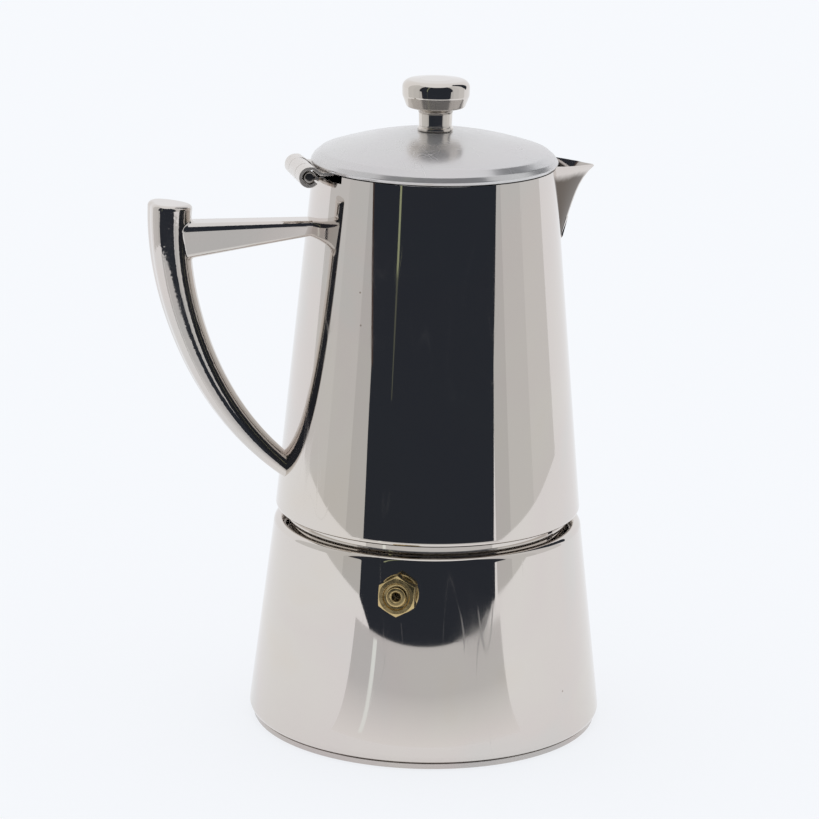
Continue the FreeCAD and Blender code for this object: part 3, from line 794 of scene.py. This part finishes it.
jug = draw_outline("jug", [
    (lip_radius, jug_foot, 0), (jug_foot_radius, jug_foot, 1.5), (jug_radius(90), 90, 0),
    (jug_radius(125), 125, 0), (jug_radius(160), 160, 0), (jug_radius(175), 175, 0),
    (jug_radius(strap_notch), strap_notch, 0), (jug_radius(notch_floor), notch_floor, 0),
    (jug_rim_radius, jug_rim, 0)])
spin_round(jug, jug_steps)
print("jug cone", len(bmesh.from_edit_mesh(jug.data).faces), "faces")


# %% Notch for the hinge
def in_notch(face):
    middle = face.calc_center_median() / mm
    wide = middle.z > notch_floor and abs(middle.y) < notch_half_width
    deep = middle.z > strap_notch and abs(middle.y) < strap_notch_half_width
    return middle.x < 0 and (wide or deep)


pick(jug, "FACE", in_notch)
bpy.ops.mesh.delete(type="FACE")
print("with the notch", len(bmesh.from_edit_mesh(jug.data).faces), "faces")

# %% Mouth for the spout
front_of_jug, well_above_foot = 0.03, 0.125
mouth_slope = mouth_half_width / (jug_rim + 1 - mouth_apex)
for side in (1, -1):
    pick(jug, "FACE", lambda face: face.calc_center_median().x > front_of_jug
         and face.calc_center_median().z > well_above_foot)
    bpy.ops.mesh.bisect(plane_co=(0, 0, mouth_apex * mm), plane_no=(0, side, -mouth_slope))


def in_mouth(face):
    middle = face.calc_center_median()
    rise = middle.z - mouth_apex * mm
    return middle.x > 0 and abs(middle.y) < mouth_slope * rise


pick(jug, "FACE", in_mouth)
bpy.ops.mesh.delete(type="FACE")

# %% Jug wall
modify(jug, "SOLIDIFY", thickness=sheet * mm, offset=-1)
soften(jug, 0.18, angle=60)
smooth(jug)
belongs(jug, "collector", "polished_steel", mirror, "collector_shell")

# %% [markdown]
# ## The spout
# The spout is a bowed V of sheet whose fold leans out, faster near the beak. Its sections
# are one shape, stretched, so the first is drawn low down and then extruded upwards, and
# Resize stretches each new section about the place where the sheet meets the wall.

# %% One section of the spout
spout_foot, spout_top = 163.0, 194.5
spout_levels = 14


def spout_station(height):
    """Root, tip and half width of the V at one height."""
    share = (height - spout_foot) / (spout_top - spout_foot)
    half = 0.8 + 11.8 * share
    tip = 43.6 + 9.6 * share + 7.1 * share ** 7
    root = math.sqrt((jug_radius(height) - 0.35) ** 2 - half ** 2)
    return root, tip, half


root, tip, half = spout_station(spout_foot)
section = []
for step in range(-10, 11):
    along = 1 - abs(step) / 10
    section.append((root + along * (tip - root),
                    math.copysign(half * (1 - along ** 1.35), step), 0))
spout = draw_outline("pouring_spout", section,
                     place=lambda x, y: Vector((x, y, spout_foot)) * mm)
print("section", len(section), "points")

# %% Draw the spout upwards
level_rise = (spout_top - spout_foot) / spout_levels
for level in range(1, spout_levels + 1):
    height = spout_foot + (spout_top - spout_foot) * level / spout_levels
    new_root, new_tip, new_half = spout_station(height)
    if level == 1:
        bpy.ops.mesh.select_all(action="SELECT")
    bpy.ops.mesh.extrude_region_move(TRANSFORM_OT_translate={
        "value": ((new_root - root) * mm, 0, level_rise * mm)})
    bpy.ops.transform.resize(
        value=((new_tip - new_root) / (tip - root), new_half / half, 1),
        center_override=(new_root * mm, 0, height * mm))
    root, tip, half = new_root, new_tip, new_half
print("spout", len(bmesh.from_edit_mesh(spout.data).faces), "faces")

# %% [markdown]
# ### Lip and fold
# A bisect trims the top, which falls towards the beak, and a bevel rounds the sharp fold.
# Solidify has to grow inwards, so the side that the faces look to is measured first.

# %% Trim the lip and round the fold
lip_place, lip_normal = (0.0405, 0, 0.1934), (0.115, 0, 1)
fold_round = 1.0
bpy.ops.mesh.select_all(action="SELECT")
bpy.ops.mesh.bisect(plane_co=lip_place, plane_no=lip_normal, clear_outer=True)
bpy.ops.mesh.select_all(action="SELECT")
bpy.ops.mesh.normals_make_consistent(inside=False)
pick(spout, "EDGE", lambda edge: all(abs(vertex.co.y) < fine_merge for vertex in edge.verts))
bpy.ops.mesh.bevel(offset=fold_round * mm, segments=5, affect="EDGES")
clear()
outward = sum(face.normal.x * face.area for face in spout.data.polygons)
modify(spout, "SOLIDIFY", thickness=sheet * mm, offset=-1 if outward > 0 else 1)
soften(spout, 0.16, angle=60)
smooth(spout, 50)
belongs(spout, "collector", "polished_steel", spout_steel, "spout")

# %% [markdown]
# ## The lid
# A shallow dome that ends in a crease and a rolled bead, hemmed inwards underneath. The
# outline goes once round the sheet, top and underside. The dome is an arc of a large
# circle, so its points come from the height formula of that arc.

# %% Lid
lid_low, lid_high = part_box("lid_shell")
lid_top, lid_hem = lid_high.z / mm, lid_low.z / mm
dome_curve = 110.0
hole_radius = 2.1


def dome(radius, below=0.0):
    """A point of the dome, or of its underside, which lies below it."""
    return radius, lid_top - below - radius ** 2 / (2 * dome_curve), 0


upper = [dome(hole_radius)] + [dome(radius) for radius in (8, 14, 20, 25, 30, 34, 36)]
under = [dome(radius, sheet) for radius in (36, 33, 29, 25, 20, 14, 8)] + [dome(hole_radius, sheet)]
lid = turned("lid", upper + [
    (38.3, 198.43, 2.4), (40.6, 196.5, 1.5), (41.6, 194.9, 0.5), (40.7, lid_hem, 0.4),
    (36.4, lid_hem, 0.3), (36.4, lid_hem + sheet, 0.3), (39.9, lid_hem + sheet, 0.4),
    (40.3, lid_hem + sheet + 0.55, 0), (37.6, 197.85, 0)]
    + under + [dome(hole_radius)], steps=192, segments=6)
smooth(lid, 60)
belongs(lid, "lid", "polished_steel", lid_steel, "lid_shell")

# %% [markdown]
# ## The knob
# Turned from bar: a crowned top, a drawn-in underside, a slim neck and a thin foot ring.
# The bore for the screw is part of the outline.

# %% Knob
knob_low, knob_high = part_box("knob")
knob_top, knob_foot = knob_high.z / mm, knob_low.z / mm
bore, bore_depth = 2.0, 7.5
knob = turned("lid_knob", [
    (0, knob_top, 0), (5.5, knob_top - 0.05, 2.0), (11.4, knob_top - 0.55, 2.6),
    (11.25, 216.9, 2.6), (9.8, 213.1, 0.9), (5.7, 211.8, 1.5), (5.5, knob_foot + 1.1, 0.3),
    (6.0, knob_foot + 1.0, 0.25), (6.0, knob_foot, 0.2), (bore, knob_foot, 0.2),
    (bore, knob_foot + bore_depth, 0), (0, knob_foot + bore_depth, 0)], steps=128)
smooth(knob, 50)
belongs(knob, "lid", "polished_steel", knob_steel, "knob")

# %% [markdown]
# ## The hinge
# Each leaf is one strip of sheet curled round the pin. The strip's middle line is drawn as
# an outline, extruded across the hinge and thickened to both sides, so the curl stays open
# towards the pot, as a real curled leaf does.

# %% Sizes of the hinge
hinge = next(joint for joint in frame["joints"] if joint["name"] == "lid_hinge")
hinge_reach, hinge_height = -hinge["pos_m"][0] / mm, hinge["pos_m"][2] / mm
leaf_sheet, curl_radius = 1.1, 2.95
barrel_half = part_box("lid_hinge_leaf")[1].y / mm
middle_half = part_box("body_hinge_leaf")[1].y / mm
knuckle_gap = 0.2
print("hinge", round(2 * barrel_half, 1), "mm wide")


# %% Curling and thickening a strip
def curl(first, last, steps=20):
    """Points round the pin from one angle to another, 0 towards the pot and 90 up."""
    points = []
    for step in range(steps + 1):
        angle = math.radians(first + (last - first) * step / steps)
        points.append((-hinge_reach + curl_radius * math.cos(angle),
                       hinge_height + curl_radius * math.sin(angle), 0))
    return points


def strip(name, outline, spans):
    """Extrude the outline across the hinge, from the first span's edge to the last."""
    piece = draw_outline(name, outline, segments=5)
    bpy.ops.mesh.select_all(action="SELECT")
    bpy.ops.transform.translate(value=(0, spans[0] * mm, 0))
    for start, end in zip(spans, spans[1:]):
        bpy.ops.mesh.extrude_region_move(
            TRANSFORM_OT_translate={"value": (0, (end - start) * mm, 0)})
    bpy.ops.mesh.select_all(action="SELECT")
    bpy.ops.mesh.normals_make_consistent(inside=False)
    return piece


def thicken(piece, *finish):
    """Give the strip its sheet thickness, finish it and hand it over."""
    clear()
    modify(piece, "SOLIDIFY", thickness=leaf_sheet * mm, offset=0)
    soften(piece, 0.2, angle=50)
    smooth(piece, 50)
    belongs(piece, *finish)


# %% The lid's leaf
inner = middle_half + knuckle_gap
plate_middle = lid_hem - leaf_sheet / 2
lid_leaf = strip("lid_leaf", [
    (-36.9, plate_middle, 0), (-41.2, plate_middle, 1.6),
    (-43.9, hinge_height + curl_radius, 1.2)] + curl(90, 322),
    (-barrel_half, -inner, inner, barrel_half))
pick(lid_leaf, "FACE", lambda face: abs(face.calc_center_median().y) < inner * mm
     and face.calc_center_median().x < -41.4 * mm)
bpy.ops.mesh.delete(type="FACE")
thicken(lid_leaf, "lid", "polished_steel", hinge_steel, "lid_hinge_leaf")

# %% The jug's leaf
strap = hinge_height - 1.75
inside_wall = sheet + leaf_sheet / 2 + 0.02
body_leaf = strip("jug_leaf", [
    (-(jug_radius(178) - inside_wall), 178, 0), (-(jug_radius(strap) - inside_wall), strap, 1.6),
    (-hinge_reach + 2.9, strap, 0.5)] + curl(-40, -325), (-middle_half, middle_half))
thicken(body_leaf, "collector", "polished_steel", hinge_steel, "body_hinge_leaf")

# %% [markdown]
# ## The hinge pin
# A plain rod with rounded ends, as long as the barrel. It is turned on the Z axis, like
# everything else that is round, and then laid across the hinge.

# %% Hinge pin
pin_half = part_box("hinge_pin")[1].y / mm
pin_radius = 1.95
pin = turned("lid_pin", [
    (0, -pin_half, 0), (pin_radius, -pin_half, 0.95), (pin_radius, pin_half, 0.95),
    (0, pin_half, 0)], steps=48)
smooth(pin)
stand_on(pin, Vector((-hinge_reach, 0, hinge_height)) * mm, Vector((0, 1, 0)))
belongs(pin, "collector", "polished_steel", pin_steel, "hinge_pin")

# %% [markdown]
# ## The safety valve
# The brass nut is a hexagon with its corners turned off, a sunk ring in its face, and a
# round insert with the vent. The hexagon is the common part of a six-sided bar and a
# turned blank, which is how a lathe makes it, so a Boolean is the natural tool here.

# %% Sizes of the valve
valve = next(joint for joint in frame["joints"] if joint["name"] == "valve_relief")
valve_axis = Vector(valve["axis"]).normalized()
washer_low, washer_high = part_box("valve_washer")
washer_thickness = 1.0
valve_foot = (washer_low + washer_high) / 2 - valve_axis * washer_thickness / 2 * mm
across_flats, hexagon_height, chamber, seat_hole = 12.0, 5.2, 2.6, 1.5
corner = across_flats / math.sqrt(3)
face_height = washer_thickness + hexagon_height
print("hexagon", across_flats, "mm across flats,", round(2 * corner, 2), "over corners")

# %% Hexagon nut and its shank
blank = turned("valve_blank", [
    (chamber, washer_thickness, 0), (corner + 0.6, washer_thickness, 0.5),
    (corner + 0.6, face_height - 1.2, 0), (across_flats / 2 - 0.25, face_height, 0.2),
    (4.5, face_height, 0.15), (4.2, face_height - 0.45, 0.15),
    (chamber, face_height - 0.45, 0), (chamber, washer_thickness, 0)], steps=96)
shank = turned("valve_shank", [
    (seat_hole, -9, 0), (4, -9, 0.5), (4, washer_thickness + 0.6, 0),
    (chamber, washer_thickness + 0.6, 0), (chamber, -6, 0), (seat_hole, -6, 0.2),
    (seat_hole, -9, 0)], steps=96)
clear()
bpy.ops.mesh.primitive_cylinder_add(
    vertices=6, radius=corner * mm, depth=hexagon_height * mm,
    location=(0, 0, (washer_thickness + hexagon_height / 2) * mm))
nut = bpy.context.object
nut.name = nut.data.name = "valve_nut"
bpy.ops.object.transform_apply()
modify(nut, "BOOLEAN", operation="INTERSECT", object=blank, solver="EXACT")
modify(nut, "BOOLEAN", operation="UNION", object=shank, solver="EXACT")
for tool in (blank, shank):
    bpy.data.objects.remove(tool)
soften(nut, 0.12, angle=25, segments=2)
smooth(nut, 30)
stand_on(nut, valve_foot, valve_axis)
belongs(nut, "boiler", "valve_brass", brass, "valve_body")

# %% [markdown]
# ### Insert and washer
# The insert with the vent is pressed into the nut's face, and a washer seals it to the wall.
# Both are turned rings, and their outlines go right round, bore included.

# %% Valve insert
insert = turned("valve_insert", [
    (1.45, face_height - 3.2, 0), (chamber - 0.05, face_height - 3.2, 0.2),
    (chamber - 0.05, face_height - 0.45, 0), (3.3, face_height - 0.4, 0),
    (3.25, face_height + 0.9, 0.55), (2.0, face_height + 0.9, 0.25),
    (1.45, face_height + 0.35, 0.15), (1.45, face_height - 3.2, 0)], steps=64)
smooth(insert, 40)
stand_on(insert, valve_foot, valve_axis)
belongs(insert, "boiler", "valve_brass", brass, "valve_retainer")

# %% Valve washer
washer = turned("valve_gasket_ring", [
    (4.0, 0, 0), (6.6, 0, 0.25), (6.6, washer_thickness, 0.35), (4.0, washer_thickness, 0),
    (4.0, 0, 0)], steps=64)
smooth(washer, 40)
stand_on(washer, valve_foot, valve_axis)
belongs(washer, "boiler", "valve_brass", brass, "valve_washer")
